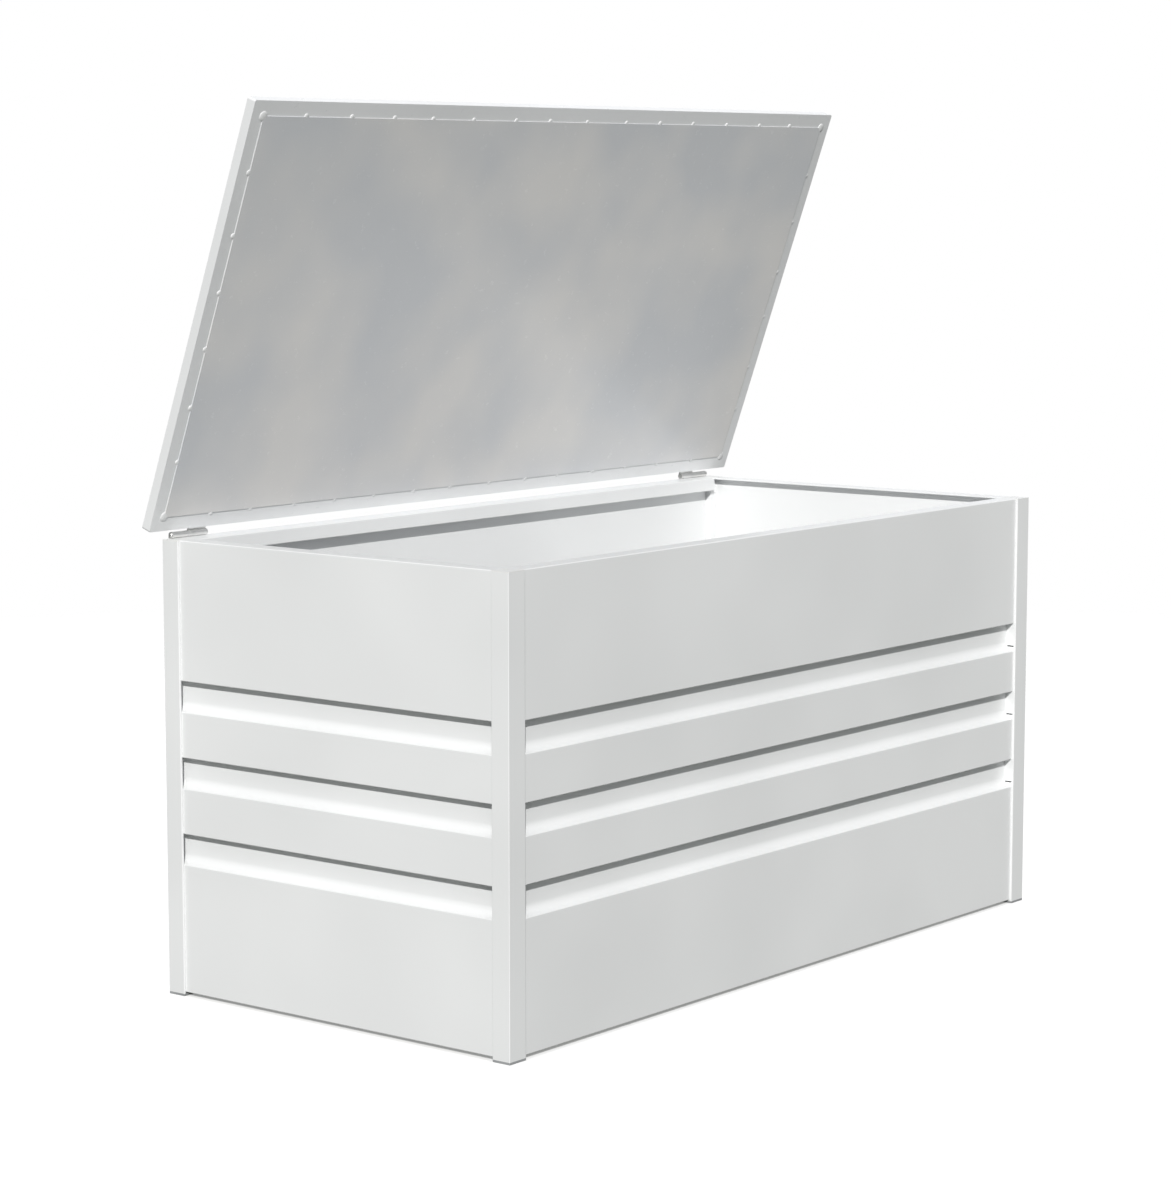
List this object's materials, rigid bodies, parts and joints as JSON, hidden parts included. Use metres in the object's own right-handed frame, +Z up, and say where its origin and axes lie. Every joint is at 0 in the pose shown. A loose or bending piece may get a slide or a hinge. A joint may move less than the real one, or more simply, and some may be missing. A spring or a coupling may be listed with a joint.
{
  "type": "deck storage box",
  "caption": "Free-standing outdoor storage box of powder-coated aluminium with corner posts, horizontally grooved sides, a slatted floor and a flat lid hinged at the rear.",
  "frame": {"origin": "on the ground, in the middle of the outline that the box and its lid cover with the lid open as at rest", "axes": "+X along the front from left to right, +Y from the front to the hinged rear, +Z up"},
  "size_m": [1.368, 0.6416, 1.2696],
  "materials": {
    "white_coat": "satin",
    "stainless": "satin",
    "white_plastic": "satin",
    "grey_plastic": "matte"
  },
  "bodies": {
    "box": {"post_front_left": "white_coat", "post_front_right": "white_coat", "post_rear_left": "white_coat", "post_rear_right": "white_coat", "cap_front_left": "white_plastic", "cap_front_right": "white_plastic", "cap_rear_left": "white_plastic", "cap_rear_right": "white_plastic", "foot_front_left": "grey_plastic", "foot_front_right": "grey_plastic", "foot_rear_left": "grey_plastic", "foot_rear_right": "grey_plastic", "front_top_board": "white_coat", "front_upper_slat": "white_coat", "front_lower_slat": "white_coat", "front_bottom_board": "white_coat", "rear_top_board": "white_coat", "rear_upper_slat": "white_coat", "rear_lower_slat": "white_coat", "rear_bottom_board": "white_coat", "left_top_board": "white_coat", "left_upper_slat": "white_coat", "left_lower_slat": "white_coat", "left_bottom_board": "white_coat", "right_top_board": "white_coat", "right_upper_slat": "white_coat", "right_lower_slat": "white_coat", "right_bottom_board": "white_coat", "hinge_rail": "white_coat", "front_sill": "white_coat", "rear_sill": "white_coat", "bearer_left": "white_coat", "bearer_middle": "white_coat", "bearer_right": "white_coat", "floor_plank_1": "white_coat", "floor_plank_2": "white_coat", "floor_plank_3": "white_coat", "floor_plank_4": "white_coat", "floor_plank_5": "white_coat", "corner_screws": "stainless", "sill_screws": "stainless", "floor_screws": "stainless", "hinge_leaf_box_left": "stainless", "hinge_leaf_box_right": "stainless", "hinge_pin_left": "stainless", "hinge_pin_right": "stainless", "hinge_screws_box": "stainless"},
    "lid": {"lid_shell": "white_coat", "lid_liner": "white_coat", "lid_rib_left": "white_coat", "lid_rib_middle": "white_coat", "lid_rib_right": "white_coat", "hinge_leaf_lid_left": "stainless", "hinge_leaf_lid_right": "stainless", "hinge_screws_lid": "stainless"}
  },
  "joints": [
    {"name": "lid_hinge", "type": "hinge", "parent": "box", "child": "lid", "pos_m": [0, 0.31172, 0.6598], "axis": [1, 0, 0], "range_deg": [-24, 70]}
  ]
}
